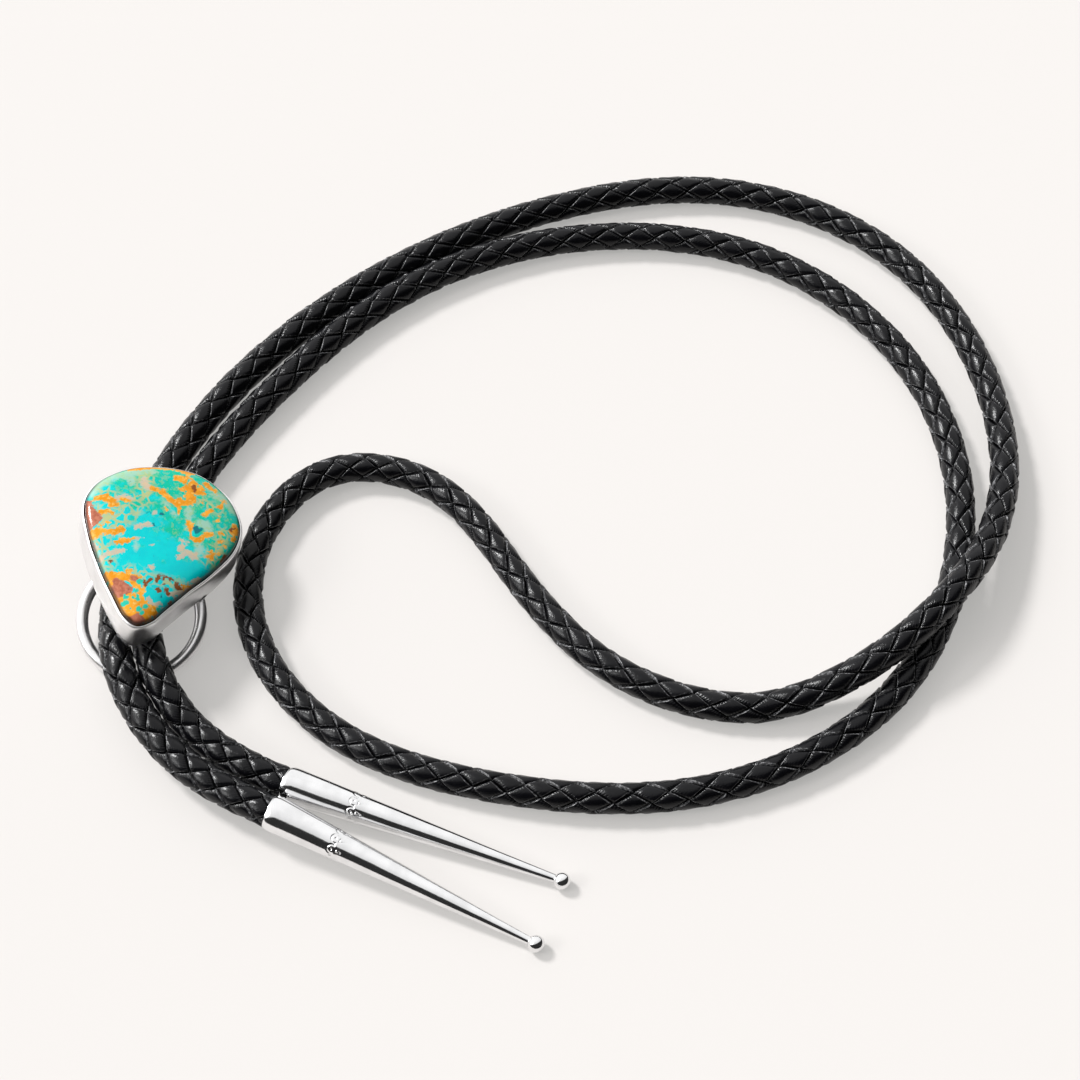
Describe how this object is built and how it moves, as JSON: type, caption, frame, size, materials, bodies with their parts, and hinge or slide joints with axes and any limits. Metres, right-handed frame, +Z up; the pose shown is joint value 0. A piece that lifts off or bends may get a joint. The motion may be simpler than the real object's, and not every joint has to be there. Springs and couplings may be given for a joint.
{
  "type": "bolo tie",
  "caption": "Bolo tie lying loose: braided leather cord threaded through a turquoise slide with a wire ring behind it, ending in silver cone tips with ball ends.",
  "frame": {"origin": "on the surface that the tie lies on, under the middle of the slide (stone, setting and ring)", "axes": "+Z up off the surface, +Y from the stone's point to its broad top, +X from the slide towards the loops of the cord"},
  "size_m": [0.175, 0.17, 0.0197],
  "materials": {
    "turquoise": "polished blue-green turquoise with golden and brown matrix",
    "silver": "polished silver",
    "leather": "satin black, braided"
  },
  "bodies": {
    "root": {"bezel_setting": "silver", "cord": "leather", "far_tip": "silver", "near_tip": "silver", "stone": "turquoise"}
  },
  "joints": []
}
